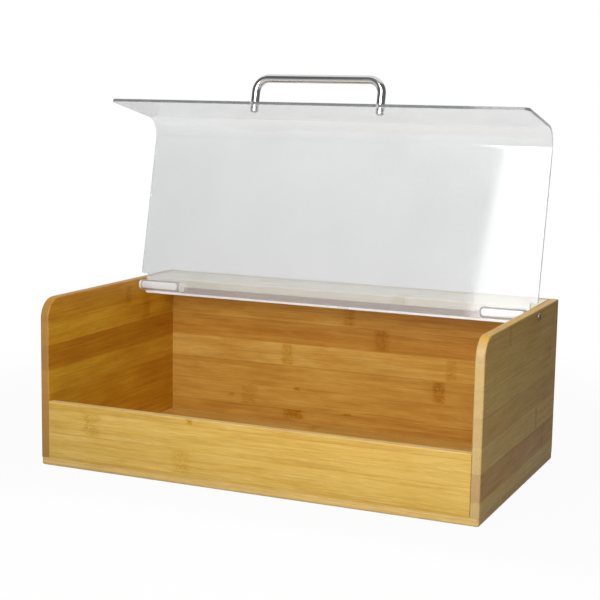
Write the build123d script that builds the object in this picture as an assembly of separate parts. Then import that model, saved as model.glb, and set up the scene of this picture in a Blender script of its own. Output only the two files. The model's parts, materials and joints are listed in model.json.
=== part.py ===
from build123d import *
import math
import os

# Bread box: an open-fronted bamboo box with a bent clear acrylic lid that swings on two pivot
# screws near the rear and carries a bent steel rod handle on its front lip.
# Millimetres. +X to the right, +Y to the rear, +Z up. Origin under the middle of the footprint.
# The model rests with the lid open, leaning back on the front edge of the rear top board.

# Bamboo box
WIDTH = 400.0            # over the two side panels
DEPTH = 230.0            # front face to back face
HEIGHT = 148.0           # ground to the top of the side panels
BOARD = 8.0              # thickness of the walls and of the rear top board
BASE_T = 7.0             # thickness of the bottom panel
FRONT_RISE = 50.5        # height of the front panel above the bottom panel
CORNER_R = 18.0          # round top front corner of the side panels
EASE_R = 1.2             # eased board edges
NOSE_R = 0.5             # upper front edge of the rear top board
BASE_EASE_R = 2.0        # rounder lower edge of the bottom panel
BASE_CORNER_R = 2.5      # upright corners of the bottom panel

# Joinery
DOWEL_D = 4.0
DOWEL_IN_SIDE = 5.0      # dowel depth in a side panel
DOWEL_IN_BOARD = 15.0    # dowel depth in the end of a board
DOWEL_EDGE = 12.0        # outer dowels from the edges of their board
BACK_DOWELS = 3          # dowels in each end of the back panel
FRONT_DOWELS = 2         # dowels in each end of the front panel
REAR_BOARD_DOWELS = 2    # dowels in each end of the rear top board
GLUE_GAP = 0.05          # room round a dowel or a screw shank
BLIND_GAP = 0.5          # room past the end of a dowel or a screw
BASE_SCREW_D = 3.0
BASE_SCREW_HEAD_D = 6.0
BASE_SCREW_L = 20.0
BASE_SCREW_SINK = 0.3    # head below the underside
BASE_SCREW_EDGE = 36.0   # end screws from the ends of a row
SIDE_SCREWS = 3          # screws under each side panel
LONG_SCREWS = 4          # screws under the front panel and under the back panel

# Hinge
HINGE_FROM_FRONT = 159.0
HINGE_DROP = 6.0         # pivot axis below the side panel tops
OPEN_LEAN = 12.0         # degrees that the open lid leans back from upright
PIVOT_D = 4.0
PIVOT_FIT = 0.05         # radial running clearance in the hinge block
PIVOT_REACH = 12.0       # pivot length inside the hinge block
PIVOT_HEAD_D = 6.5
PIVOT_HEAD_H = 1.8
HEAD_ROUND_R = 1.2
WASHER_D = 9.0
WASHER_T = 1.5

# Acrylic lid
SHEET_T = 2.5
LID_INSET = 3.5          # lid edge inside the outer face of each side panel
LID_GAP = 0.3            # closed lid above the side panel tops
LIP_GAP = 2.8            # closed lip in front of the side panels
LIP_RISE = 1.8           # closed lip's free edge above the front panel
BEND_R = 17.0            # inside radius of the bend
LIP_CORNER_R = 5.0
SHOULDER = 11.5          # from the axis to the full-width part of the lid
SHOULDER_R = 1.5
TAIL_GAP = 2.0           # tail's end to the inner face of a side panel
TAIL_R = 2.0
STOP_GAP = 0.2           # open lid's back face to the edge it leans on
SWING_GAP = 0.35         # tail's sweep to the front edge of the rear board
BLOCK_L = 41.5           # hinge block along the axis
BLOCK_W = 10.0           # hinge block across the axis, along the sheet
BLOCK_T = 12.0           # hinge block away from the sheet
BLOCK_ROUND_R = 1.0

# Handle
ROD_D = 7.5
LEG_SPACING = 120.0
HANDLE_RISE = 25.5       # middle of the bar above the lip
HANDLE_BEND_R = 12.0     # at the middle of the rod
HANDLE_FROM_EDGE = 21.5  # legs from the lip's free edge
HANDLE_SCREW_D = 4.0
HANDLE_SCREW_HEAD_D = 7.0
HANDLE_SCREW_HEAD_H = 2.6
HANDLE_SCREW_L = 12.0    # screw length in a leg
SINK_GAP = 0.05          # room round a countersunk head
DRIVE_W = 0.8            # slot width of the cross recesses
DRIVE_L = 3.6
DRIVE_DEEP = 0.9

# Worked out from the sizes above
FRONT_Y = -DEPTH / 2
BACK_Y = DEPTH / 2
SIDE_X = WIDTH / 2
INNER_X = SIDE_X - BOARD
FRONT_TOP = BASE_T + FRONT_RISE
HINGE_Y = FRONT_Y + HINGE_FROM_FRONT
HINGE_Z = HEIGHT - HINGE_DROP
OPEN_ANGLE = 90.0 + OPEN_LEAN

# Heights over the pivot axis with the lid closed
SHEET_LOW = HINGE_DROP + LID_GAP
SHEET_HIGH = SHEET_LOW + SHEET_T

# The open lid's back face meets the rear board's rounded upper front edge. Below that edge the
# board's front slopes back, square to a line from the pivot, so that the lid's tail swings past
LEAN_SIN = math.sin(math.radians(OPEN_LEAN))
LEAN_COS = math.cos(math.radians(OPEN_LEAN))
NOSE_Z = HINGE_DROP - NOSE_R
NOSE_Y = (SHEET_HIGH + STOP_GAP + NOSE_R + NOSE_Z * LEAN_SIN) / LEAN_COS
NOSE_AWAY = math.hypot(NOSE_Y, NOSE_Z)
SLOPE_SIN = NOSE_Z / NOSE_AWAY
SLOPE_COS = NOSE_Y / NOSE_AWAY
TAIL = math.sqrt((NOSE_AWAY - NOSE_R - SWING_GAP) ** 2 - SHEET_HIGH**2)

# Lid outline, measured from the pivot axis with the lid closed
LID_X = SIDE_X - LID_INSET
TAIL_X = INNER_X - TAIL_GAP
LIP_IN_Y = -(HINGE_FROM_FRONT + LIP_GAP)
LIP_OUT_Y = LIP_IN_Y - SHEET_T
LIP_LOW_Z = FRONT_TOP + LIP_RISE - HINGE_Z
LEG_Z = LIP_LOW_Z + HANDLE_FROM_EDGE
LEG_XS = (-LEG_SPACING / 2, LEG_SPACING / 2)


def block(x0, x1, y0, y1, z0, z1):
    """A box between two corners."""
    centre = ((x0 + x1) / 2, (y0 + y1) / 2, (z0 + z1) / 2)
    return Pos(*centre) * Box(abs(x1 - x0), abs(y1 - y0), abs(z1 - z0))


def rod(start, direction, length, radius):
    """A round bar from a point along a direction."""
    end = Plane(origin=start, z_dir=direction)
    return extrude(end * Circle(radius), amount=length)


def spread(low, high, count):
    """Evenly spaced places from low to high."""
    return [low + (high - low) * i / (count - 1) for i in range(count)]


def mirrored(part):
    """The same piece on the other side of the box."""
    return mirror(part, about=Plane.YZ)


def screw(start, direction, shank_d, head_d, length):
    """A countersunk screw: start is the middle of its flat head, length runs to the tip."""
    head_h = (head_d - shank_d) / 2
    flat = Plane(origin=start, z_dir=direction)
    body = extrude(flat * Circle(shank_d / 2), amount=length)
    body += loft([flat * Circle(head_d / 2), flat.offset(head_h) * Circle(shank_d / 2)])
    return body - drive_cross(flat)


def round_head(seat, outward, head_d, head_h):
    """A round screw head that stands on its seat, with a cross recess."""
    base = Plane(origin=seat, z_dir=outward)
    head = extrude(base * Circle(head_d / 2), amount=head_h)
    rim = head.faces().sort_by(Axis(seat, outward))[-1].edges()
    head = fillet(rim, HEAD_ROUND_R)
    return head - drive_cross(-base.offset(head_h))


def drive_cross(flat):
    """A cross recess sunk along a plane's normal."""
    cross = Rectangle(DRIVE_L, DRIVE_W) + Rectangle(DRIVE_W, DRIVE_L)
    return extrude(flat * cross, amount=DRIVE_DEEP)


def sink(start, direction, shank_d, head_d, length):
    """The hole for a countersunk screw, with room all round."""
    head_h = (head_d - shank_d) / 2
    flat = Plane(origin=start, z_dir=direction)
    hole = extrude(flat * Circle(shank_d / 2 + GLUE_GAP), amount=length + BLIND_GAP)
    wide = flat * Circle(head_d / 2 + SINK_GAP)
    narrow = flat.offset(head_h) * Circle(shank_d / 2 + SINK_GAP)
    return hole + loft([wide, narrow])


def base_screw_places():
    """Where the screws go up through the bottom panel, in the middle of each wall."""
    wall = BOARD / 2
    side_ys = spread(FRONT_Y + BASE_SCREW_EDGE, BACK_Y - BASE_SCREW_EDGE, SIDE_SCREWS)
    long_xs = spread(-SIDE_X + BASE_SCREW_EDGE, SIDE_X - BASE_SCREW_EDGE, LONG_SCREWS)
    sides = [(sign * (SIDE_X - wall), y) for sign in (-1, 1) for y in side_ys]
    ends = [(x, y) for y in (FRONT_Y + wall, BACK_Y - wall) for x in long_xs]
    return sides + ends


def base_screw_holes():
    """The countersunk holes through the bottom panel and up into the walls."""
    sunk = [(x, y, BASE_SCREW_SINK) for x, y in base_screw_places()]
    holes = [sink(at, (0, 0, 1), BASE_SCREW_D, BASE_SCREW_HEAD_D, BASE_SCREW_L) for at in sunk]
    mouth = BASE_SCREW_HEAD_D / 2 + SINK_GAP
    mouths = [rod((x, y, 0), (0, 0, 1), BASE_SCREW_SINK, mouth) for x, y in base_screw_places()]
    return holes + mouths


def base_screws():
    """The screws that hold the walls on the bottom panel."""
    sunk = [(x, y, BASE_SCREW_SINK) for x, y in base_screw_places()]
    return [screw(at, (0, 0, 1), BASE_SCREW_D, BASE_SCREW_HEAD_D, BASE_SCREW_L) for at in sunk]


def front_dowel_places():
    """Y and Z of the dowels in the ends of the front panel."""
    zs = spread(BASE_T + DOWEL_EDGE, FRONT_TOP - DOWEL_EDGE, FRONT_DOWELS)
    return [(FRONT_Y + BOARD / 2, z) for z in zs]


def back_dowel_places():
    """Y and Z of the dowels in the ends of the back panel."""
    zs = spread(BASE_T + DOWEL_EDGE, HEIGHT - DOWEL_EDGE, BACK_DOWELS)
    return [(BACK_Y - BOARD / 2, z) for z in zs]


def rear_board_front(depth):
    """Y of the sloping front of the rear top board, at a depth below its top."""
    return HINGE_Y + NOSE_Y - (NOSE_R + (NOSE_R - depth) * SLOPE_SIN) / SLOPE_COS


def rear_board_dowel_places():
    """Y and Z of the dowels in the ends of the rear top board."""
    ys = spread(rear_board_front(BOARD) + DOWEL_EDGE, BACK_Y - BOARD - DOWEL_EDGE, REAR_BOARD_DOWELS)
    return [(y, HEIGHT - BOARD / 2) for y in ys]


def dowel_bars(places, radius, spare):
    """Bars across both joints between a board and the side panels, spare longer at each end."""
    start = INNER_X - DOWEL_IN_BOARD - spare
    length = DOWEL_IN_BOARD + DOWEL_IN_SIDE + 2 * spare
    right = [rod((start, y, z), (1, 0, 0), length, radius) for y, z in places]
    return right + [mirrored(bar) for bar in right]


def dowels(places):
    """The wooden dowels of one board."""
    return dowel_bars(places, DOWEL_D / 2, 0)


def dowel_holes(places):
    """The holes for the dowels of one board, in its ends and in the side panels."""
    return dowel_bars(places, DOWEL_D / 2 + GLUE_GAP, BLIND_GAP)


def bottom_panel():
    """The full-size board that the walls stand on."""
    board = block(-SIDE_X, SIDE_X, FRONT_Y, BACK_Y, 0, BASE_T)
    board = fillet(board.edges().filter_by(Axis.Z), BASE_CORNER_R)
    board = fillet(board.faces().sort_by(Axis.Z)[0].edges(), BASE_EASE_R)
    return board - base_screw_holes()


def right_side_panel():
    """A wall of the full depth with a round upper front corner."""
    wall = block(INNER_X, SIDE_X, FRONT_Y, BACK_Y, BASE_T, HEIGHT)
    corner = wall.edges().filter_by(Axis.X).sort_by_distance((SIDE_X, FRONT_Y, HEIGHT))[0]
    wall = fillet(corner, CORNER_R)
    cheeks = wall.faces().filter_by(Axis.X).edges()
    wall = fillet(cheeks.filter_by(lambda edge: edge.center().Z > BASE_T + EASE_R), EASE_R)
    places = front_dowel_places() + back_dowel_places() + rear_board_dowel_places()
    wall -= dowel_holes(places)
    wall -= base_screw_holes()
    hole_r = PIVOT_D / 2 + GLUE_GAP
    return wall - rod((INNER_X - BOARD, HINGE_Y, HINGE_Z), (1, 0, 0), 3 * BOARD, hole_r)


def front_panel():
    """The low wall between the side panels, flush with their front edges."""
    wall = block(-INNER_X, INNER_X, FRONT_Y, FRONT_Y + BOARD, BASE_T, FRONT_TOP)
    top = wall.faces().sort_by(Axis.Z)[-1]
    wall = fillet(top.edges().filter_by(Axis.X), EASE_R)
    return wall - dowel_holes(front_dowel_places()) - base_screw_holes()


def back_panel():
    """The full-height wall between the side panels."""
    wall = block(-INNER_X, INNER_X, BACK_Y - BOARD, BACK_Y, BASE_T, HEIGHT)
    rear = wall.faces().sort_by(Axis.Y)[-1]
    wall = fillet(rear.edges().filter_by(Axis.X).sort_by(Axis.Z)[-1], EASE_R)
    return wall - dowel_holes(back_dowel_places()) - base_screw_holes()


def rear_top_board():
    """The fixed board behind the lid, whose upper front edge stops the open lid."""
    outline = Polyline(
        (rear_board_front(0), HEIGHT),
        (BACK_Y - BOARD, HEIGHT),
        (BACK_Y - BOARD, HEIGHT - BOARD),
        (rear_board_front(BOARD), HEIGHT - BOARD),
        close=True,
    )
    section = make_face(outline)
    upper = section.vertices().sort_by_distance((rear_board_front(0), HEIGHT, 0))[0]
    section = fillet(upper, NOSE_R)
    lower = section.vertices().sort_by_distance((rear_board_front(BOARD), HEIGHT - BOARD, 0))[0]
    section = fillet(lower, EASE_R)
    board = extrude(Plane.YZ * section, amount=INNER_X, both=True)
    return board - dowel_holes(rear_board_dowel_places())


def right_pivot_screw():
    """A round-headed screw through the side panel whose smooth end is the hinge pin."""
    tip_x = TAIL_X - PIVOT_REACH
    shank = rod((tip_x, HINGE_Y, HINGE_Z), (1, 0, 0), SIDE_X - tip_x, PIVOT_D / 2)
    return shank + round_head((SIDE_X, HINGE_Y, HINGE_Z), (1, 0, 0), PIVOT_HEAD_D, PIVOT_HEAD_H)


def right_pivot_washer():
    """A spacer on the pivot between the side panel and the hinge block."""
    start = (INNER_X - WASHER_T, HINGE_Y, HINGE_Z)
    ring = rod(start, (1, 0, 0), WASHER_T, WASHER_D / 2)
    return ring - rod(start, (1, 0, 0), WASHER_T, PIVOT_D / 2 + GLUE_GAP)


def lid_sheet():
    """The bent sheet: a top with a narrow tail at the pivot, and a front lip."""
    outline = Polyline(
        (TAIL, SHEET_LOW),
        (LIP_IN_Y, SHEET_LOW),
        (LIP_IN_Y, LIP_LOW_Z),
        (LIP_OUT_Y, LIP_LOW_Z),
        (LIP_OUT_Y, SHEET_HIGH),
        (TAIL, SHEET_HIGH),
        close=True,
    )
    section = make_face(outline)
    inner = section.vertices().sort_by_distance((LIP_IN_Y, SHEET_LOW, 0))[0]
    section = fillet(inner, BEND_R)
    outer = section.vertices().sort_by_distance((LIP_OUT_Y, SHEET_HIGH, 0))[0]
    section = fillet(outer, BEND_R + SHEET_T)
    sheet = extrude(Plane.YZ * section, amount=LID_X, both=True)
    for side in (-1, 1):
        notch = (side * TAIL_X, side * (LID_X + SHEET_T), -SHOULDER, TAIL + SHEET_T)
        sheet -= block(*notch, SHEET_LOW - SHEET_T, SHEET_HIGH + SHEET_T)
    uprights = sheet.edges().filter_by(Axis.Z)
    shoulders = [uprights.sort_by_distance((x, -SHOULDER, SHEET_LOW))[0] for x in (-LID_X, LID_X)]
    sheet = fillet(shoulders, SHOULDER_R)
    uprights = sheet.edges().filter_by(Axis.Z)
    tips = [uprights.sort_by_distance((x, TAIL, SHEET_LOW))[0] for x in (-TAIL_X, TAIL_X)]
    sheet = fillet(tips, TAIL_R)
    across = sheet.edges().filter_by(Axis.Y)
    corners = [across.sort_by_distance((x, LIP_IN_Y, LIP_LOW_Z))[0] for x in (-LID_X, LID_X)]
    sheet = fillet(corners, LIP_CORNER_R)
    for x in LEG_XS:
        sheet -= handle_screw_hole(x)
    return sheet


def right_hinge_block():
    """A clear block cemented under the tail, with a blind bore for the pivot."""
    across = BLOCK_W / 2
    body = block(TAIL_X - BLOCK_L, TAIL_X, -across, across, SHEET_LOW - BLOCK_T, SHEET_LOW)
    top = body.faces().sort_by(Axis.Z)[-1]
    loose = [edge for edge in body.edges() if edge.center().Z < top.center().Z]
    body = fillet(loose, BLOCK_ROUND_R)
    bore_l = PIVOT_REACH + BLIND_GAP
    return body - rod((TAIL_X - bore_l, 0, 0), (1, 0, 0), bore_l, PIVOT_D / 2 + PIVOT_FIT)


def handle_bar():
    """A round steel rod bent into a bow, its legs square to the lip."""
    left, right = LEG_XS
    far = LIP_OUT_Y - HANDLE_RISE
    corners = [(left, LIP_OUT_Y, LEG_Z), (left, far, LEG_Z), (right, far, LEG_Z), (right, LIP_OUT_Y, LEG_Z)]
    path = FilletPolyline(*corners, radius=HANDLE_BEND_R)
    foot = Plane(origin=corners[0], z_dir=(0, -1, 0))
    bow = sweep(foot * Circle(ROD_D / 2), path=path)
    for x in LEG_XS:
        bow -= handle_screw_hole(x)
    return bow


def handle_screw_hole(x):
    """A hole through the lip and on into a leg of the handle."""
    length = SHEET_T + HANDLE_SCREW_L + BLIND_GAP
    return rod((x, LIP_IN_Y, LEG_Z), (0, -1, 0), length, HANDLE_SCREW_D / 2 + GLUE_GAP)


def handle_screw(x):
    """A round-headed screw from the inside of the lip into a leg of the handle."""
    seat = (x, LIP_IN_Y, LEG_Z)
    shank = rod(seat, (0, -1, 0), SHEET_T + HANDLE_SCREW_L, HANDLE_SCREW_D / 2)
    return shank + round_head(seat, (0, 1, 0), HANDLE_SCREW_HEAD_D, HANDLE_SCREW_HEAD_H)


def group(solids):
    """Separate solids that share one name."""
    return Compound(children=solids)


side = right_side_panel()
pivot = right_pivot_screw()
washer = right_pivot_washer()
fixed_pieces = {
    "bottom_panel": bottom_panel(),
    "left_side_panel": mirrored(side),
    "right_side_panel": side,
    "front_panel": front_panel(),
    "back_panel": back_panel(),
    "rear_top_board": rear_top_board(),
    "front_panel_dowels": group(dowels(front_dowel_places())),
    "back_panel_dowels": group(dowels(back_dowel_places())),
    "rear_board_dowels": group(dowels(rear_board_dowel_places())),
    "bottom_screws": group(base_screws()),
    "left_pivot_screw": mirrored(pivot),
    "right_pivot_screw": pivot,
    "left_pivot_washer": mirrored(washer),
    "right_pivot_washer": washer,
}

hinge_block = right_hinge_block()
lid_pieces = {
    "lid_sheet": lid_sheet(),
    "left_hinge_block": mirrored(hinge_block),
    "right_hinge_block": hinge_block,
    "handle_bar": handle_bar(),
    "handle_screws": group([handle_screw(x) for x in LEG_XS]),
}

# The lid pieces are drawn closed about the pivot axis, then swung open
open_lid = Pos(0, HINGE_Y, HINGE_Z) * Rot(-OPEN_ANGLE, 0, 0)
pieces = fixed_pieces | {name: open_lid * piece for name, piece in lid_pieces.items()}

os.makedirs("parts", exist_ok=True)
for name, piece in pieces.items():
    export_step(piece, f"parts/{name}.step")
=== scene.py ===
"""Looks of the bread box: pressed bamboo boards, a bent clear lid on pivot screws and a steel rod handle."""

import json
import math

import bpy
from mathutils import Euler, Matrix, Quaternion, Vector


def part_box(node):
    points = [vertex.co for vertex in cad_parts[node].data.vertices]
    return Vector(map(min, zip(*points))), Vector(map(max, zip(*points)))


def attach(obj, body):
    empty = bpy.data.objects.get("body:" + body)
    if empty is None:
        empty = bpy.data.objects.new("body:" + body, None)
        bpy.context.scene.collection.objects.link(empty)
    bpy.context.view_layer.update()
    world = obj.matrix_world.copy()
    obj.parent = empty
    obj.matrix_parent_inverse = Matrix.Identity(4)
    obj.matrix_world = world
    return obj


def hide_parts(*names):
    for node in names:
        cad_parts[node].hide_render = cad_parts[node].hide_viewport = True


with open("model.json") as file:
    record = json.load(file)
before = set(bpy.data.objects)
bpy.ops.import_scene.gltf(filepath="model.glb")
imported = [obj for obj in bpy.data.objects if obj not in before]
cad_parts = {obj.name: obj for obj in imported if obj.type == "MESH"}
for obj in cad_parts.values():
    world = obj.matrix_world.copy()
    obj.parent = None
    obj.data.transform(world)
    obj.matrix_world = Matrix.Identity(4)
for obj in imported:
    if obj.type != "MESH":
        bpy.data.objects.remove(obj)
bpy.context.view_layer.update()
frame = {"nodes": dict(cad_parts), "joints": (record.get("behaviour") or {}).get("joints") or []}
nodes = frame["nodes"]

MM = 0.001
HINGE = Vector(frame["joints"][0]["pos_m"])
OPEN_ANGLE = math.radians(frame["joints"][0]["range_deg"][1])
QUARTER = math.radians(90)

# Lid, in millimetres from the pivot axis with the lid closed
SHEET_T = 2.5
SHEET_LOW = 6.3
LID_X = 196.5
TAIL_X = 190.0
TAIL_END = 7.15
SHOULDER_Y = -11.5
SHOULDER_R = 1.5
TAIL_R = 2.0
BEND_R = 17.0
LIP_IN_Y = -161.8
LIP_LOW_Z = -82.7
LIP_CORNER_R = 5.0
SHEET_EDGE = 0.3
TAIL_ROUND_R = 1.1
# How far in from the tail's end its painted highlight reaches
TAIL_HIGHLIGHT = 2.0
LIP_HOLE_CUT = 20.0

# Heights between which the open lid turns into its lip, in millimetres above the ground, where the lip's
# painted light comes in
BEND_Z = (284.0, 308.0)

# Hinge blocks, in millimetres
BLOCK_L = 41.5
BLOCK_W = 10.0
BLOCK_T = 12.0
BLOCK_ROUND_R = 2.8
BORE_D = 4.1
BORE_L = 12.5
BORE_PAST = 2.0

# Handle and screws, in millimetres
# A head has its width, height and rounding, and the cross recess its length, width and depth
ROD_D = 7.5
LEG_X = 60.0
LEG_Z = -61.2
HANDLE_RISE = 25.5
HANDLE_BEND_R = 12.0
FOOT_EASE = 0.4
FOOT_PAST = 1.0
SHANK_D = 4.0
PIVOT_L = 22.0
PIVOT_HEAD = (6.5, 1.8, 1.2)
HANDLE_SCREW_L = 14.5
HANDLE_HEAD = (7.0, 2.6, 0.7)
DRIVE = (3.6, 0.8, 0.9)

# Modelling: distances in metres, steps round a curve, angles in degrees
NEAR = 1e-5
MERGE = 1e-6
CIRCLE_SIDES = 48
BEND_STEPS = 24
ROD_STEPS = 16
CORNER_STEPS = 8
ROUND_STEPS = 5
BLOCK_STEPS = 4
EASE_STEPS = 2
EDGE_ANGLE = 50
SHEET_SMOOTH = 20
BLOCK_SMOOTH = 35
SCREW_SMOOTH = 35
ROD_SMOOTH = 40
NORMAL_WEIGHT = 100
FLAT = 0.98
FACING_UP = 0.9

# Camera, in metres, degrees and millimetres
CAMERA_PLACE = (0.48859, -1.11688, 0.32975)
CAMERA_YAW = 23.8109
CAMERA_PITCH = 8.5299
CAMERA_ROLL = 0.9876
CAMERA_LENS = 83.591
SENSOR = 36.0

# Lamps, in metres and degrees
KEY_PLACE = (0.1763, -0.75, 0.5975)
KEY_SIZE = (0.544, 0.615)
KEY_LEAN = 3.0
KEY_RADIANCE = 8.3
TOP_PLACE = (0.0, -0.1, 2.0)
TOP_SIZE = (1.6, 1.6)
TOP_RADIANCE = 1.0
AHEAD = (0, 1, 0)
DOWN = (0, 0, -1)

# Room: the light on plain surfaces, and what mirrors see as dark, by the direction they look in
AMBIENT = 0.12
SHADE = 0.14
WINGS = (0.58, 0.72)
CEILING_FROM = (0.1, 0.3)
CEILING_TO = (0.82, 0.92)
CEILING_BACK = (-0.1, 0.1)

# Floor: its size in metres, its shades, and in millimetres where one shade turns into another
FLOOR_SIZE = 12.0
FLOOR_WHITE = 0.955
FLOOR_SHEEN = 0.45
SIDE_SHEEN = 0.1
FLOOR_GREY = 0.4
FRONT_CARD = 0.85
FLOOR_ROUGH = 0.9
SHEEN_X = (180.0, 300.0)
CARD_Y = (-220.0, -140.0)
FLOOR_FAR = (350.0, 700.0)

# Bamboo boards, in millimetres
STRIP = 21.8
BASE_T = 7.0
FRONT_TOP = 57.5
# Painted shade on a board darkens its tone from the middle to this far along it
PAINTED_SHADE_TO = 180.0
WANDER_MM = 7.0
# The band below a top edge over which its painted highlight grows, from this far below it to this far
HIGHLIGHT_FROM = 0.9
HIGHLIGHT_TO = 0.1

# Bamboo patterns: how fine they are along the grain and across it, per millimetre
DRIFT = (0.011, 7.3)
CLOUD = (0.02, 0.12)
FIBRE = (0.02, 1.1)
VEIN = (0.008, 0.36)
FLECK = (0.1, 0.9)
WANDER = (0.12, 0.3)
BLOTCH = (0.2, 0.22)
DASH = (0.5, 1.0)
DEPTH_FINE = 0.9
DASH_SEED = 3

# Bamboo strengths: where a pattern starts and ends, then what it gives there
DRIFT_TONE = 0.7
CLOUD_TONE = 0.9
TONE_STOPS = (0.0, 0.5, 1.0)
VEIN_DARK = (0.5, 0.72, 0.0, 0.16)
VEIN_PALE = (0.5, 0.3, 0.0, 0.2)
FLECK_SPAN = (0.34, 0.62)
BLOTCH_SPAN = (0.32, 0.68)
DASH_SPAN = (0.4, 0.62)
MARK_WIDE = (0.2, 0.6)
MARK_TALL = (0.42, 0.52)
MARK_DASH = 0.9
MARK_BLOTCH = 0.45
MARK_BASE = 0.05
SEAM = (0.1, 0.6, 0.3, 0.0)
GLUE = (0.15, 0.6, 0.25, 0.0)
END_FACE = (0.4, 0.9)
# How much of the pale colour a top edge's painted highlight takes
HIGHLIGHT_SHARE = 0.4
BAMBOO_ROUGH = (0.52, 0.38)
BAMBOO_GLOSS = 0.35
FIBRE_BUMP = (0.25, 0.0002)

# Bamboo stains, which multiply the colour under them
FIBRE_SHADES = ((0.88, 0.85, 0.78, 1), (1.04, 1.04, 1.03, 1))
FLECK_SHADES = ((0.93, 0.91, 0.86, 1), (1.03, 1.03, 1.03, 1))
MARK_STAIN = (0.72, 0.57, 0.02, 1)
SEAM_STAIN = (0.6, 0.45, 0.25, 1)
GLUE_STAIN = (0.6, 0.42, 0.2, 1)

# Mottling of the plain finishes and the veil of the acrylic
NOISE_SPAN = (0.3, 0.7)
FINE_DETAIL = 3.0
MOTTLE = 0.9
MOTTLE_DIM = 0.9
MOTTLE_ROUGH = (0.85, 1.2)
VEIL = 0.02
VEIL_DIM = 0.97
VEIL_HAZE = (0.9, 1.1)
ACRYLIC_IOR = 1.49
ACRYLIC_GLOSS = 0.3


def srgb(red, green, blue):
    """A display colour, 0 to 255, as linear values."""
    def channel(value):
        share = value / 255
        return share / 12.92 if share <= 0.04045 else ((share + 0.055) / 1.055) ** 2.4
    return (channel(red), channel(green), channel(blue), 1.0)


def dimmed(colour, share):
    """A share of a colour."""
    return tuple(share * part for part in colour[:3]) + (1,)


# Colours of the strips, from dark to light, and of a painted highlight on a top edge or a cut end
STRAW = (srgb(200, 153, 62), srgb(215, 176, 85), srgb(228, 194, 112))
HONEY = (srgb(177, 122, 42), srgb(199, 151, 66), srgb(216, 178, 96))
AMBER = (srgb(169, 107, 9), srgb(192, 136, 23), srgb(208, 160, 45))
WHEAT = (srgb(196, 142, 54), srgb(212, 172, 76), srgb(224, 190, 100))
BLOND = (srgb(206, 160, 72), srgb(226, 190, 106), srgb(240, 210, 136))
CREAM = (srgb(226, 216, 196), srgb(235, 227, 210), srgb(243, 237, 224))
PALE_END_AND_HIGHLIGHT = srgb(214, 192, 150)


class Finish:
    """A material's node tree, with short words for the nodes it is made of."""

    def __init__(self, name):
        self.material = bpy.data.materials.new(name)
        self.material.use_nodes = True
        self.tree = self.material.node_tree
        self.shader = self.tree.nodes["Principled BSDF"]
        self.output = self.tree.nodes["Material Output"]

    def node(self, kind, **settings):
        made = self.tree.nodes.new(kind)
        for name, value in settings.items():
            setattr(made, name, value)
        return made

    def feed(self, socket, value):
        """Links a node's output to a socket, or sets the socket's own value."""
        if isinstance(value, bpy.types.NodeSocket):
            self.tree.links.new(value, socket)
        else:
            socket.default_value = value

    def math(self, operation, first, second=0.0, third=0.0):
        made = self.node("ShaderNodeMath", operation=operation)
        for socket, value in zip(made.inputs, (first, second, third)):
            self.feed(socket, value)
        return made.outputs[0]

    def between(self, value, low, high, start=0.0, end=1.0):
        """From start at low to end at high, and smooth between them."""
        made = self.node("ShaderNodeMapRange", interpolation_type="SMOOTHSTEP")
        for name, setting in (("Value", value), ("From Min", low), ("From Max", high),
                              ("To Min", start), ("To Max", end)):
            self.feed(made.inputs[name], setting)
        return made.outputs[0]

    def about_zero(self, value, amount):
        """A value of 0 to 1 as a change of half the amount, down or up."""
        return self.math("MULTIPLY_ADD", value, amount, -amount / 2)

    def vector(self, x, y, z):
        made = self.node("ShaderNodeCombineXYZ")
        for socket, value in zip(made.inputs, (x, y, z)):
            self.feed(socket, value)
        return made.outputs[0]

    def parts(self, vector):
        made = self.node("ShaderNodeSeparateXYZ")
        self.feed(made.inputs[0], vector)
        return made.outputs

    def places(self):
        """Object coordinates in millimetres, as three values."""
        place = self.node("ShaderNodeTexCoord").outputs["Object"]
        return [self.math("MULTIPLY", part, 1 / MM) for part in self.parts(place)]

    def noise(self, vector, detail=2.0):
        made = self.node("ShaderNodeTexNoise")
        for name, setting in (("Vector", vector), ("Scale", 1.0), ("Detail", detail)):
            self.feed(made.inputs[name], setting)
        return made.outputs[0]

    def stretched(self, along, across, through, fine_along, fine_across):
        """A place for a pattern that is finer across the grain than along it."""
        return self.vector(self.math("MULTIPLY", along, fine_along),
                           self.math("MULTIPLY", across, fine_across), through)

    def mottled(self, places, fine):
        """Noise that is as fine in every direction."""
        return self.noise(self.vector(*[self.math("MULTIPLY", place, fine) for place in places]), FINE_DETAIL)

    def mix(self, share, first, second, blend="MIX"):
        made = self.node("ShaderNodeMix", data_type="RGBA", blend_type=blend)
        for place, setting in ((0, share), (6, first), (7, second)):
            self.feed(made.inputs[place], setting)
        return made.outputs[2]

    def ramp(self, value, stops, colours, blend="LINEAR"):
        """The colours in turn, each at its stop."""
        made = self.node("ShaderNodeValToRGB")
        made.color_ramp.interpolation = blend
        elements = made.color_ramp.elements
        while len(elements) < len(stops):
            elements.new(0.5)
        for element, place, colour in zip(elements, stops, colours):
            element.position = place
            element.color = colour
        self.feed(made.inputs[0], value)
        return made.outputs[0]

    def steps(self, value, levels):
        """One level after another as value goes from 0 to 1, with no blend between them."""
        stops = [count / len(levels) for count in range(len(levels))]
        return self.ramp(value, stops, [(level, level, level, 1) for level in levels], "CONSTANT")

    def rays(self):
        """Which rays come from the camera or through glass, and which come from a mirror, as 0 or 1."""
        path = self.node("ShaderNodeLightPath").outputs
        return self.math("MAXIMUM", path["Is Camera Ray"], path["Is Transmission Ray"]), path["Is Glossy Ray"]

    def bump(self, height, strength, distance):
        made = self.node("ShaderNodeBump")
        for name, setting in (("Height", height), ("Strength", strength), ("Distance", distance)):
            self.feed(made.inputs[name], setting)
        self.feed(self.shader.inputs["Normal"], made.outputs[0])

    def set(self, **values):
        """Feeds the shader's sockets, which are named with _ for a space."""
        for name, value in values.items():
            self.feed(self.shader.inputs[name.replace("_", " ")], value)
        return self.material


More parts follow.
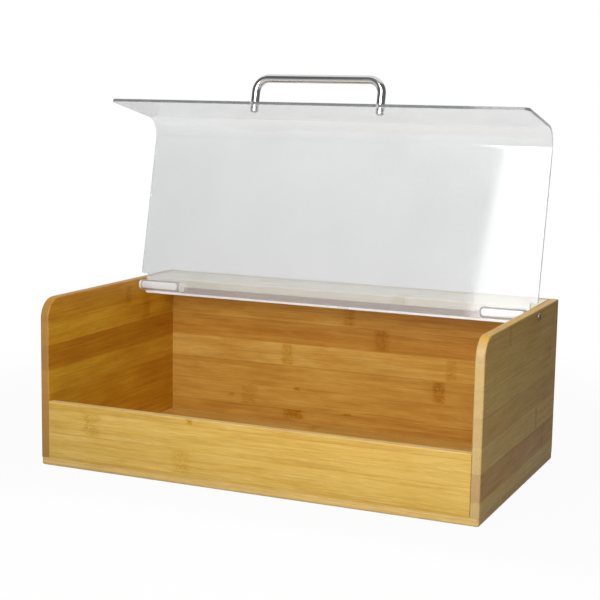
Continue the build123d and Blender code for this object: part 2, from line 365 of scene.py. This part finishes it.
class Surround(Finish):
    """The world's node tree, with the same short words."""

    def __init__(self, name):
        world = bpy.data.worlds.new(name)
        bpy.context.scene.world = world
        world.use_nodes = True
        self.tree = world.node_tree
        self.shader = self.tree.nodes["Background"]


def stem_marks(finish, a, c, seed, marks):
    """How much the stem nodes stain each place."""
    spread = finish.about_zero(finish.noise(finish.stretched(a, c, seed, *WANDER)), WANDER_MM)
    stain = 0.0
    for at_along, at_across, width, height, strength in marks:
        off = finish.math("ABSOLUTE", finish.math("ADD", finish.math("SUBTRACT", a, at_along), spread))
        up = finish.math("ABSOLUTE", finish.math("SUBTRACT", c, at_across))
        wide = finish.between(off, *[width * share for share in MARK_WIDE], strength, 0.0)
        tall = finish.between(up, *[height * share for share in MARK_TALL], 1.0, 0.0)
        stain = finish.math("MAXIMUM", stain, finish.math("MULTIPLY", wide, tall))
    blotch = finish.between(finish.noise(finish.stretched(a, c, seed, *BLOTCH), FINE_DETAIL), *BLOTCH_SPAN)
    dash = finish.between(finish.noise(finish.stretched(a, c, seed + DASH_SEED, *DASH)), *DASH_SPAN)
    pattern = finish.math("MULTIPLY_ADD", blotch, MARK_BLOTCH, MARK_BASE)
    return finish.math("MULTIPLY", stain, finish.math("MULTIPLY_ADD", dash, MARK_DASH, pattern))


def bamboo(name, along, across, through, phase, seed, tones, rows, marks, ends=0.3, end_tone=PALE_END_AND_HIGHLIGHT,
           satin=1.0, painted_shade=0.0, painted_highlight_edge=None):
    """Pressed bamboo: strips along one axis, set side by side across it, and going through the board.

    phase is where the first strip starts, and rows gives each strip its tone, from dark to light. marks lists
    the stem nodes: along, across, width, height and strength. The cut ends take a share, ends, of end_tone.
    A smaller satin gives more gloss. The next argument is painted shade: how much darker the tone gets from
    the board's middle to its far end. The last is the height of a top edge that gets a painted highlight,
    paler as if lit from above.
    """
    finish = Finish(name)
    axes = dict(zip("xyz", finish.places()))
    a, c, t = axes[along], axes[across], axes[through]
    row = finish.math("DIVIDE", finish.math("SUBTRACT", c, phase), STRIP)
    strip = finish.math("FLOOR", row)
    inside = finish.math("FRACT", row)
    edge = finish.math("MINIMUM", inside, finish.math("SUBTRACT", 1.0, inside))
    edge = finish.math("MULTIPLY", edge, STRIP)

    drift = finish.noise(finish.stretched(a, strip, seed, *DRIFT))
    cloud = finish.noise(finish.stretched(a, c, seed, *CLOUD))
    tone = finish.steps(finish.math("DIVIDE", row, len(rows)), rows)
    tone = finish.math("ADD", tone, finish.about_zero(drift, DRIFT_TONE))
    tone = finish.math("ADD", tone, finish.about_zero(cloud, CLOUD_TONE))
    # Painted shade: the tone darkens from the board's middle towards its far end
    tone = finish.math("SUBTRACT", tone, finish.between(a, 0.0, PAINTED_SHADE_TO, 0.0, painted_shade))
    colour = finish.ramp(tone, TONE_STOPS, tones)

    deep = finish.math("MULTIPLY_ADD", t, DEPTH_FINE, seed)
    fibre = finish.noise(finish.stretched(a, c, deep, *FIBRE), FINE_DETAIL)
    vein = finish.noise(finish.stretched(a, c, deep, *VEIN))
    fleck = finish.noise(finish.stretched(a, c, deep, *FLECK))
    colour = finish.mix(finish.between(vein, *VEIN_DARK), colour, tones[0], "MULTIPLY")
    colour = finish.mix(finish.between(vein, *VEIN_PALE), colour, tones[2])
    colour = finish.mix(1.0, colour, finish.ramp(fibre, NOISE_SPAN, FIBRE_SHADES), "MULTIPLY")
    colour = finish.mix(1.0, colour, finish.ramp(fleck, FLECK_SPAN, FLECK_SHADES), "MULTIPLY")

    colour = finish.mix(stem_marks(finish, a, c, seed, marks), colour, MARK_STAIN, "MULTIPLY")
    colour = finish.mix(finish.between(edge, *SEAM), colour, SEAM_STAIN, "MULTIPLY")
    normal = finish.parts(finish.node("ShaderNodeTexCoord").outputs["Normal"])
    end = finish.math("ABSOLUTE", normal["xyz".index(along)])
    colour = finish.mix(finish.between(end, *END_FACE, 0.0, ends), colour, end_tone)
    joint = finish.math("ABSOLUTE", finish.math("SUBTRACT", axes["z"], BASE_T))
    colour = finish.mix(finish.between(joint, *GLUE), colour, GLUE_STAIN, "MULTIPLY")
    # Painted highlight: the top edge paler, as if lit from above
    if painted_highlight_edge:
        painted_highlight = finish.between(axes["z"], painted_highlight_edge - HIGHLIGHT_FROM, painted_highlight_edge - HIGHLIGHT_TO, 0.0, HIGHLIGHT_SHARE)
        colour = finish.mix(painted_highlight, colour, PALE_END_AND_HIGHLIGHT)

    finish.bump(fibre, *FIBRE_BUMP)
    rough = finish.between(fibre, *NOISE_SPAN, *[satin * share for share in BAMBOO_ROUGH])
    return finish.set(Base_Color=colour, Roughness=rough, Specular_IOR_Level=BAMBOO_GLOSS)


def plain(name, colour, roughness, metallic=0.0):
    """A finish with fine mottling in its colour and gloss."""
    finish = Finish(name)
    fine = finish.mottled(finish.places(), MOTTLE)
    shade = finish.ramp(fine, NOISE_SPAN, (dimmed(colour, MOTTLE_DIM), colour))
    rough = finish.between(fine, *NOISE_SPAN, *[roughness * share for share in MOTTLE_ROUGH])
    return finish.set(Base_Color=shade, Metallic=metallic, Roughness=rough)


def acrylic(name, colour, clear, haze, lip=None):
    """Clear sheet with a faint milky veil and a polished face that is never quite even.

    lip is the colour and clearness that it takes on from the bend to the lip, paler and clearer: painted light
    on the lip.
    """
    finish = Finish(name)
    places = finish.places()
    cloud = finish.mottled(places, VEIL)
    shade = finish.ramp(cloud, NOISE_SPAN, (dimmed(colour, VEIL_DIM), colour))
    # Painted light: from the bend down, the lip turns paler and clearer
    if lip:
        shade = finish.mix(finish.between(places[2], *BEND_Z), shade, lip[0])
        clear = finish.between(places[2], *BEND_Z, clear, lip[1])
    rough = finish.between(cloud, *NOISE_SPAN, *[haze * share for share in VEIL_HAZE])
    return finish.set(Base_Color=shade, Roughness=rough, IOR=ACRYLIC_IOR, Transmission_Weight=clear,
                      Specular_IOR_Level=ACRYLIC_GLOSS)


def only(piece):
    """Makes one piece the active and the only selected one."""
    bpy.ops.object.select_all(action="DESELECT")
    piece.select_set(True)
    bpy.context.view_layer.objects.active = piece


def near(value, target):
    return abs(value - target) < NEAR


def lies(axis, value):
    """A test for an edge that lies at one value of an axis."""
    return lambda a, b: near(getattr(a, axis), value) and near(getattr(b, axis), value)


def pick(kind, wanted):
    """Leaves only those points, edges or faces of the active piece selected that pass, in edit mode."""
    bpy.ops.object.mode_set(mode="EDIT")
    bpy.ops.mesh.select_mode(type=kind)
    bpy.ops.mesh.select_all(action="DESELECT")
    bpy.ops.object.mode_set(mode="OBJECT")
    mesh = bpy.context.object.data
    if kind == "VERT":
        for point in mesh.vertices:
            point.select = wanted(point.co)
    elif kind == "EDGE":
        for line in mesh.edges:
            line.select = wanted(*[mesh.vertices[end].co for end in line.vertices])
    else:
        for patch in mesh.polygons:
            patch.select = wanted(patch.center, patch.normal)
    bpy.ops.object.mode_set(mode="EDIT")


def done():
    """Leaves edit mode."""
    bpy.ops.object.mode_set(mode="OBJECT")


def extrude(*step):
    bpy.ops.mesh.extrude_region_move(TRANSFORM_OT_translate={"value": step})


def bevel(radius, steps, kind="EDGES"):
    """Rounds the selected edges or points by a radius in millimetres."""
    bpy.ops.mesh.bevel(offset=radius * MM, segments=steps, affect=kind)


def merge():
    """Merges the active piece's doubles, in edit mode, and selects all of it."""
    bpy.ops.mesh.select_all(action="SELECT")
    bpy.ops.mesh.remove_doubles(threshold=MERGE)


def coat(piece, slot, wanted):
    """Gives the faces that pass the finish in one of a piece's slots."""
    pick("FACE", wanted)
    piece.active_material_index = slot
    bpy.ops.object.material_slot_assign()
    done()


def worked(piece, kind, **settings):
    """Adds a modifier to a piece and applies it."""
    only(piece)
    step = piece.modifiers.new(kind.lower(), kind)
    for name, value in settings.items():
        setattr(step, name, value)
    bpy.ops.object.modifier_apply(modifier=step.name)


def cut(piece, cutter):
    """Takes the cutter's shape out of a piece, and the cutter away."""
    worked(piece, "BOOLEAN", operation="DIFFERENCE", solver="EXACT", object=cutter)
    shape = cutter.data
    bpy.data.objects.remove(cutter, do_unlink=True)
    bpy.data.meshes.remove(shape)


def smooth(piece, angle):
    """Shades a piece smooth where its faces meet at less than an angle."""
    only(piece)
    bpy.ops.object.shade_smooth_by_angle(angle=math.radians(angle))
    worked(piece, "WEIGHTED_NORMAL", keep_sharp=True, weight=NORMAL_WEIGHT)


def settle():
    """Puts the active piece's place, turn and size into its mesh."""
    bpy.ops.object.transform_apply(location=True, rotation=True, scale=True)


def place(piece, turn, at):
    """Turns a piece about the origin and moves it, in its mesh."""
    only(piece)
    piece.rotation_mode = "XYZ"
    piece.rotation_euler = turn
    piece.location = at
    settle()


def swing_open(piece):
    """Takes a piece of the closed lid, modelled about the pivot axis, to the open lid."""
    place(piece, (-OPEN_ANGLE, 0, 0), HINGE)


def dress(piece, name, body, slot, material, *replaced):
    """Names a finished piece, gives it its finish and puts it on its body."""
    piece.name = name
    piece.data.name = name
    if not piece.data.materials:
        piece.data.materials.append(material)
    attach(piece, body)
    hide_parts(*replaced)


def cylinder(radius, length, at, turn=(0, 0, 0)):
    """A round bar about a point."""
    bpy.ops.object.select_all(action="DESELECT")
    bpy.ops.mesh.primitive_cylinder_add(vertices=CIRCLE_SIDES, radius=radius, depth=length, location=at,
                                        rotation=turn)
    settle()
    return bpy.context.object


def brick(low, high):
    """A block between two corners."""
    bpy.ops.object.select_all(action="DESELECT")
    middle = [(a + b) / 2 for a, b in zip(low, high)]
    size = [b - a for a, b in zip(low, high)]
    bpy.ops.mesh.primitive_cube_add(size=1, location=middle, scale=size)
    settle()
    return bpy.context.object


def lid_sheet():
    """One sheet: a narrow tail, the shoulders, the wide top, the bend and the lip."""
    bend_y = (LIP_IN_Y + BEND_R) * MM
    low = SHEET_LOW * MM
    lip_z = LIP_LOW_Z * MM
    tail_x, wide_x = TAIL_X * MM, LID_X * MM
    shoulder_y, tail_y = SHOULDER_Y * MM, TAIL_END * MM
    highlight_y = (TAIL_END - TAIL_HIGHLIGHT) * MM
    bpy.ops.object.select_all(action="DESELECT")
    bpy.ops.mesh.primitive_plane_add(size=1, location=(0, (shoulder_y + highlight_y) / 2, low))
    sheet = bpy.context.object
    sheet.scale = (2 * tail_x, highlight_y - shoulder_y, 1)
    settle()
    pick("EDGE", lies("y", highlight_y))
    extrude(0, tail_y - highlight_y, 0)
    pick("EDGE", lies("y", shoulder_y))
    extrude(0, bend_y - shoulder_y, 0)
    for side in (-1, 1):
        at_side = lies("x", side * tail_x)
        pick("EDGE", lambda a, b: at_side(a, b) and (a.y + b.y) / 2 < shoulder_y)
        extrude(side * (wide_x - tail_x), 0, 0)
    pick("EDGE", lies("y", bend_y))
    bpy.ops.mesh.spin(steps=BEND_STEPS, angle=-QUARTER, center=(0, bend_y, low - BEND_R * MM), axis=(1, 0, 0))
    done()
    front = min(point.co.z for point in sheet.data.vertices)
    pick("EDGE", lies("z", front))
    extrude(0, 0, lip_z - front)
    merge()
    bpy.ops.mesh.normals_make_consistent(inside=False)
    done()
    top = max(sheet.data.polygons, key=lambda patch: patch.area)
    if top.normal.z < 0:
        bpy.ops.object.mode_set(mode="EDIT")
        bpy.ops.mesh.flip_normals()
    for radius, corner in ((SHOULDER_R, lambda p: near(abs(p.x), wide_x) and near(p.y, shoulder_y)),
                           (TAIL_R, lambda p: near(abs(p.x), tail_x) and near(p.y, tail_y)),
                           (LIP_CORNER_R, lambda p: near(abs(p.x), wide_x) and near(p.z, lip_z))):
        pick("VERT", corner)
        bevel(radius, CORNER_STEPS, "VERTICES")
    done()
    # The sheet's finishes: clear acrylic, a darker copy on its cut edges as painted shade, and a paler one at
    # the tail's end as a painted highlight
    for finish in (clear, rim_painted_shade, tail_highlight):
        sheet.data.materials.append(finish)
    worked(sheet, "SOLIDIFY", thickness=SHEET_T * MM, offset=1.0, use_even_offset=True, material_offset_rim=1)
    at_tail = lies("y", tail_y)
    pick("EDGE", lambda a, b: at_tail(a, b) and near(a.z, b.z))
    bevel(TAIL_ROUND_R, ROUND_STEPS)
    done()
    for side in (-1, 1):
        at = (side * LEG_X * MM, LIP_IN_Y * MM, LEG_Z * MM)
        cut(sheet, cylinder(BORE_D / 2 * MM, LIP_HOLE_CUT * MM, at, (QUARTER, 0, 0)))
    worked(sheet, "BEVEL", width=SHEET_EDGE * MM, segments=EASE_STEPS, limit_method="ANGLE",
           angle_limit=math.radians(EDGE_ANGLE))
    smooth(sheet, SHEET_SMOOTH)
    # Painted highlight: the last faces of the tail get a paler, hazier acrylic
    coat(sheet, 2, lambda centre, normal: centre.y > highlight_y)
    swing_open(sheet)
    return sheet


def hinge_block(side):
    """A block cemented under the tail, with a blind bore for the pivot."""
    low, high = (SHEET_LOW - BLOCK_T) * MM, SHEET_LOW * MM
    ends = sorted((side * (TAIL_X - BLOCK_L) * MM, side * TAIL_X * MM))
    block = brick((ends[0], -BLOCK_W / 2 * MM, low), (ends[1], BLOCK_W / 2 * MM, high))
    cemented = lies("z", high)
    pick("EDGE", lambda a, b: not cemented(a, b))
    bevel(BLOCK_ROUND_R, BLOCK_STEPS)
    done()
    middle = side * (TAIL_X + (BORE_PAST - BORE_L) / 2) * MM
    cut(block, cylinder(BORE_D / 2 * MM, (BORE_L + BORE_PAST) * MM, (middle, 0, 0), (0, QUARTER, 0)))
    smooth(block, BLOCK_SMOOTH)
    # The faces take a milky white acrylic, partly a painted highlight; the rounded edges a darker one, painted
    # shade for a grey outline
    for finish in (clear_block, block_painted_shade_edge):
        block.data.materials.append(finish)
    coat(block, 1, lambda centre, normal: (centre.yz.length > BORE_D * MM
                                           and max(abs(part) for part in normal) < FLAT))
    swing_open(block)
    return block


def handle():
    """A round rod: leg, bend, bar, bend and leg, standing on the lip."""
    foot_y = (LIP_IN_Y - SHEET_T) * MM
    leg = (HANDLE_RISE - HANDLE_BEND_R) * MM
    turn = HANDLE_BEND_R * MM
    leg_x, leg_z = LEG_X * MM, LEG_Z * MM
    bpy.ops.object.select_all(action="DESELECT")
    bpy.ops.mesh.primitive_circle_add(vertices=CIRCLE_SIDES, radius=ROD_D / 2 * MM,
                                      location=(-leg_x, foot_y, leg_z), rotation=(QUARTER, 0, 0))
    rod = bpy.context.object
    settle()
    pick("EDGE", lambda a, b: True)
    extrude(0, -leg, 0)
    for middle, run in ((turn - leg_x, (2 * (leg_x - turn), 0, 0)), (leg_x - turn, (0, leg, 0))):
        bpy.ops.mesh.spin(steps=ROD_STEPS, angle=-QUARTER, center=(middle, foot_y - leg, leg_z),
                          axis=(0, 0, 1))
        extrude(*run)
    merge()
    bpy.ops.mesh.fill_holes(sides=0)
    bpy.ops.mesh.normals_make_consistent(inside=False)
    pick("EDGE", lies("y", foot_y))
    bevel(FOOT_EASE, EASE_STEPS)
    done()
    for side in (-1, 1):
        at = (side * leg_x, foot_y + (FOOT_PAST - HANDLE_SCREW_L / 2) * MM, leg_z)
        cut(rod, cylinder(BORE_D / 2 * MM, HANDLE_SCREW_L * MM, at, (QUARTER, 0, 0)))
    smooth(rod, ROD_SMOOTH)
    swing_open(rod)
    return rod


def round_screw(length, head, turn, at):
    """A smooth shank with a round head that has a cross recess; the head faces up before the turn."""
    wide, tall = head[0] / SHANK_D, head[1] * MM
    screw = cylinder(SHANK_D / 2 * MM, length * MM, (0, 0, -length / 2 * MM))
    pick("FACE", lambda centre, normal: near(centre.z, 0) and normal.z > FACING_UP)
    extrude(0, 0, 0)
    bpy.ops.transform.resize(value=(wide, wide, 1), center_override=(0, 0, 0))
    extrude(0, 0, tall)
    pick("EDGE", lies("z", tall))
    bevel(head[2], ROUND_STEPS)
    pick("EDGE", lies("z", -length * MM))
    bevel(FOOT_EASE, EASE_STEPS)
    merge()
    bpy.ops.mesh.normals_make_consistent(inside=False)
    done()
    arm, slot, deep = (size / 2 * MM for size in DRIVE)
    for half_x, half_y in ((arm, slot), (slot, arm)):
        cut(screw, brick((-half_x, -half_y, tall - 2 * deep), (half_x, half_y, tall + deep)))
    smooth(screw, SCREW_SMOOTH)
    place(screw, turn, at)
    return screw


def joined(pieces):
    """Several pieces as one."""
    only(pieces[0])
    for piece in pieces:
        piece.select_set(True)
    bpy.ops.object.join()
    return bpy.context.object


def wear(node, material):
    """Gives a CAD node its finish."""
    slots = nodes[node].data.materials
    slots.clear()
    slots.append(material)


def camera():
    """The photograph's viewpoint."""
    data = bpy.data.cameras.new("photo_camera")
    data.lens = CAMERA_LENS
    data.sensor_width = SENSOR
    made = bpy.data.objects.new("photo_camera", data)
    bpy.context.scene.collection.objects.link(made)
    aim = Euler((QUARTER - math.radians(CAMERA_PITCH), 0, math.radians(CAMERA_YAW))).to_matrix()
    turn = aim @ Matrix.Rotation(math.radians(CAMERA_ROLL), 3, "Z")
    made.matrix_world = Matrix.Translation(CAMERA_PLACE) @ turn.to_4x4()
    bpy.context.scene.camera = made


def softbox(name, at, size, radiance, aim):
    """A rectangular lamp that is equally bright all over."""
    data = bpy.data.lights.new(name, "AREA")
    data.shape = "RECTANGLE"
    data.size, data.size_y = size
    data.energy = radiance * math.pi * size[0] * size[1]
    made = bpy.data.objects.new(name, data)
    bpy.context.scene.collection.objects.link(made)
    made.location = at
    made.rotation_mode = "QUATERNION"
    made.rotation_quaternion = Vector(aim).to_track_quat("-Z", "Y")
    return made


def lamps():
    """A key softbox in front, leaning a little to the side, and a weak one above."""
    key = softbox("key_softbox", KEY_PLACE, KEY_SIZE, KEY_RADIANCE, AHEAD)
    key.rotation_quaternion = Quaternion(AHEAD, math.radians(KEY_LEAN)) @ key.rotation_quaternion
    key.visible_camera = False
    key.visible_transmission = False
    top = softbox("top_softbox", TOP_PLACE, TOP_SIZE, TOP_RADIANCE, DOWN)
    top.visible_glossy = False


def room():
    """White to the camera and through glass, dim to plain surfaces, with dark wings and ceiling in mirrors."""
    studio = Surround("studio")
    seen, mirrored = studio.rays()
    x, y, z = studio.parts(studio.node("ShaderNodeTexCoord").outputs["Generated"])
    cos, sin = math.cos(math.radians(CAMERA_YAW)), math.sin(math.radians(CAMERA_YAW))
    sideways = studio.math("MULTIPLY_ADD", x, cos, studio.math("MULTIPLY", y, sin))
    behind = studio.math("MULTIPLY_ADD", y, cos, studio.math("MULTIPLY", x, -sin))
    wings = studio.between(studio.math("ABSOLUTE", sideways), *WINGS)
    ceiling = studio.between(z, *CEILING_FROM)
    ceiling = studio.math("MULTIPLY", ceiling, studio.between(z, *CEILING_TO, 1.0, 0.0))
    ceiling = studio.math("MULTIPLY", ceiling, studio.between(behind, *CEILING_BACK, 1.0, 0.0))
    shine = studio.math("MULTIPLY_ADD", studio.math("MAXIMUM", wings, ceiling), SHADE - 1, 1.0)
    lit = studio.math("MAXIMUM", seen, studio.math("MULTIPLY", mirrored, shine))
    other = studio.math("SUBTRACT", 1.0, studio.math("MAXIMUM", seen, mirrored))
    studio.feed(studio.shader.inputs["Color"], (1, 1, 1, 1))
    studio.feed(studio.shader.inputs["Strength"], studio.math("MULTIPLY_ADD", other, AMBIENT, lit))


def white_floor():
    """White to the camera with a faint shadow, weaker in mirrors, and grey to plain light except in front."""
    bpy.ops.object.select_all(action="DESELECT")
    bpy.ops.mesh.primitive_plane_add(size=FLOOR_SIZE, location=(0, 0, 0))
    floor = bpy.context.object
    floor.name = "floor"
    finish = Finish("white_floor")
    seen, mirrored = finish.rays()
    x, y, _ = finish.places()
    sheen = finish.between(x, *SHEEN_X, FLOOR_SHEEN, SIDE_SHEEN)
    seen = finish.math("MAXIMUM", seen, finish.math("MULTIPLY", mirrored, sheen))
    card = finish.between(y, *CARD_Y, FRONT_CARD, FLOOR_GREY)
    finish.set(Base_Color=finish.vector(card, card, card), Roughness=FLOOR_ROUGH)
    away = finish.math("SQRT", finish.math("MULTIPLY_ADD", x, x, finish.math("MULTIPLY", y, y)))
    white = finish.between(away, *FLOOR_FAR, FLOOR_WHITE, 1.0)
    glow = finish.node("ShaderNodeEmission")
    mixed = finish.node("ShaderNodeMixShader")
    finish.feed(mixed.inputs[0], finish.math("MULTIPLY", seen, white))
    finish.feed(mixed.inputs[1], finish.shader.outputs[0])
    finish.feed(mixed.inputs[2], glow.outputs[0])
    finish.feed(finish.output.inputs["Surface"], mixed.outputs[0])
    floor.data.materials.append(finish.material)


# Which way a board's strips run, lie side by side and go through it
UPRIGHT = dict(along="x", across="z", through="y")
ENDWISE = dict(along="y", across="z", through="x")
LEVEL = dict(along="x", across="y", through="z")

BOARDS = {
    "front_panel": dict(
        # The top edge gets a painted highlight
        UPRIGHT, phase=8.5, seed=3.0, tones=STRAW, rows=(0.55, 0.5, 0.4), painted_highlight_edge=FRONT_TOP,
        marks=[(-148.8, 41.2, 20, 21, 0.5), (-60.1, 19.5, 20, 21, 0.4), (-53.1, 55, 8, 5, 0.9)]),
    "back_panel": dict(
        # Painted shade darkens the back wall towards its right end
        UPRIGHT, phase=-2.4, seed=5.0, tones=HONEY, rows=(0.3, 0.5, 0.5, 0.7, 0.15, 0.4, 0.4), painted_shade=0.3,
        marks=[(0.5, 117.5, 14, 21, 0.8), (33.8, 96, 16, 21, 0.9), (-64.3, 74, 14, 21, 0.7),
               (104.1, 74, 12, 21, 0.6), (92.1, 52, 13, 21, 1.2), (-105.3, 30.5, 18, 21, 0.5),
               (-56.8, 15.4, 22, 9, 1.9), (-52.9, 41, 7, 3, 1.8), (-0.5, 20.5, 9, 2.5, 1.0),
               (-124.3, 28.6, 6, 2.5, 1.0)]),
    "left_side_panel": dict(
        ENDWISE, phase=-2.4, seed=7.0, tones=AMBER, rows=(0.5, 0.5, 0.5, 0.75, 0.2, 0.7, 0.45),
        ends=0.7, end_tone=srgb(162, 125, 76),
        marks=[(20.6, 135, 12, 18, 0.7), (54.6, 118, 14, 21, 0.7)]),
    "right_side_panel": dict(
        ENDWISE, phase=-2.4, seed=9.0, tones=WHEAT, rows=(0.75, 0.05, 0.75, 0.4, 0.65, 0.6, 0.35),
        ends=0.5, end_tone=srgb(181, 161, 132),
        marks=[(-44.3, 138, 8, 18, 0.7), (89.6, 108, 8, 21, 0.6), (49, 52, 8, 21, 0.7),
               (74.5, 30, 8, 21, 0.6)]),
    "rear_top_board": dict(
        LEVEL, phase=52.0, seed=11.0, tones=CREAM, rows=(0.5, 0.7, 0.4), satin=0.55,
        marks=[(-80, 85, 14, 21, 0.5), (70, 63, 14, 21, 0.5)]),
    "bottom_panel": dict(
        LEVEL, phase=-115.0, seed=13.0, tones=BLOND,
        rows=(0.95, 0.25, 0.4, 0.1, 0.3, 0.25, 0.1, 0.3, 0.25, 0.25, 0.3),
        ends=0.6, end_tone=srgb(196, 146, 60),
        marks=[(-30, 95, 12, 21, 0.7), (120, 72, 12, 21, 0.7), (66.2, -104, 10, 21, 0.6)]),
}

# The lip's paler, clearer acrylic is painted light
clear = acrylic("clear_acrylic", (0.69, 0.70, 0.70, 1), clear=0.755, haze=0.07,
                lip=((0.92, 0.93, 0.93, 1), 0.91))
# Darker acrylic on the sheet's cut edges: painted shade for their dark outline
rim_painted_shade = acrylic("clear_acrylic_painted_shade_rim", (0.5, 0.52, 0.52, 1), clear=0.8, haze=0.1)
# Paler, hazier acrylic at the tail's end: a painted highlight along it
tail_highlight = acrylic("tail_highlight", (0.84, 0.84, 0.84, 1), clear=0.4, haze=0.3)
# Milky white block faces, partly a painted highlight, and darker rounded edges as painted shade
clear_block = acrylic("clear_block", (0.95, 0.95, 0.95, 1), clear=0.64, haze=0.05)
block_painted_shade_edge = acrylic("clear_block_edge", (0.36, 0.36, 0.38, 1), clear=0.55, haze=0.12)
steel = plain("bright_steel", (0.72, 0.72, 0.71, 1), roughness=0.13, metallic=1.0)
dull_steel = plain("dull_steel", (0.3, 0.24, 0.2, 1), roughness=0.34, metallic=1.0)
zinc = plain("screw_steel", (0.66, 0.67, 0.69, 1), roughness=0.3, metallic=1.0)
nylon = plain("nylon", (0.85, 0.85, 0.83, 1), roughness=0.5)
beech = plain("dowel_wood", srgb(206, 172, 120), roughness=0.6)

for node, layout in BOARDS.items():
    wear(node, bamboo("bamboo_" + node, **layout))
for node in ("front_panel_dowels", "back_panel_dowels", "rear_board_dowels"):
    wear(node, beech)
for node in ("left_pivot_washer", "right_pivot_washer"):
    wear(node, nylon)
wear("bottom_screws", zinc)

sheet = lid_sheet()
dress(sheet, "bent_lid", "lid", "clear_acrylic", clear, "lid_sheet")
sheet.visible_shadow = False
for side, name in ((-1, "left"), (1, "right")):
    block = hinge_block(side)
    dress(block, name + "_clear_block", "lid", "clear_acrylic", clear_block, name + "_hinge_block")
    block.visible_shadow = False
    outer = Vector((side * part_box("right_side_panel")[1].x, HINGE.y, HINGE.z))
    pivot = round_screw(PIVOT_L, PIVOT_HEAD, (0, side * QUARTER, 0), outer)
    dress(pivot, name + "_pivot", "box", "bright_steel", dull_steel, name + "_pivot_screw")
dress(handle(), "rod_handle", "lid", "bright_steel", steel, "handle_bar")
screws = []
for side in (-1, 1):
    under_lip = (side * LEG_X * MM, LIP_IN_Y * MM, LEG_Z * MM)
    screw = round_screw(HANDLE_SCREW_L, HANDLE_HEAD, (-QUARTER, 0, 0), under_lip)
    swing_open(screw)
    screws.append(screw)
dress(joined(screws), "lip_screws", "lid", "screw_steel", zinc, "handle_screws")

camera()
lamps()
room()
white_floor()
bpy.context.scene.view_settings.view_transform = "Standard"
